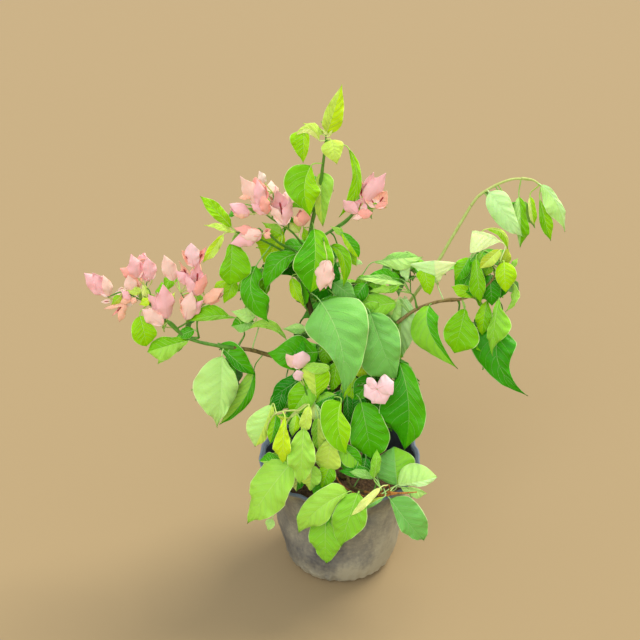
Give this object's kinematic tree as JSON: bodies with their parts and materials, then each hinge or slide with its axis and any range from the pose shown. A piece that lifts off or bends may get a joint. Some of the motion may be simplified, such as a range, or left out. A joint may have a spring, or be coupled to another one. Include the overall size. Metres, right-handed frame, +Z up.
{
  "type": "potted bougainvillea bush",
  "caption": "Young open-crowned bougainvillea bush with salmon-pink bracts, standing in a flared black film nursery bag filled with soil.",
  "frame": {"origin": "middle of the bag's flat underside", "axes": "+Z up; the bush is seen from -Y in the picture, with +X to the right"},
  "size_m": [0.5029, 0.2365, 0.5663],
  "materials": {
    "bag_film": "thin black film, creased and dusty",
    "potting_soil": "moist crumbly soil",
    "bark": "thin brown bark",
    "young_stem": "smooth green shoot",
    "leaf": "satin leaf, paler beneath",
    "young_leaf": "thin yellow-green leaf",
    "bract": "papery salmon-pink bract"
  },
  "bodies": {
    "root": {"nursery_bag": "bag_film", "potting_soil": "potting_soil", "main_stem": "bark", "left_bough": "bark", "right_bough": "bark", "low_shoot": "bark", "arching_bough_rise": "young_stem", "arching_bough_sweep": "young_stem", "front_shoot": "young_stem", "upper_left_shoot": "young_stem", "upper_right_shoot": "young_stem", "foliage_top": "young_leaf", "foliage_leader": "leaf", "foliage_upper": "leaf", "foliage_left": "leaf", "foliage_middle_left": "leaf", "foliage_middle_right": "leaf", "foliage_right": "leaf", "foliage_right_back": "leaf", "foliage_arch_tip": "leaf", "foliage_front_left": "young_leaf", "foliage_front": "leaf", "foliage_front_right": "leaf", "foliage_back_upper": "leaf", "foliage_back_lower": "leaf", "foliage_back_left": "leaf", "foliage_back_right": "leaf", "bracts_left": "bract", "bracts_upper_left": "bract", "bracts_upper_right": "bract"}
  },
  "joints": []
}
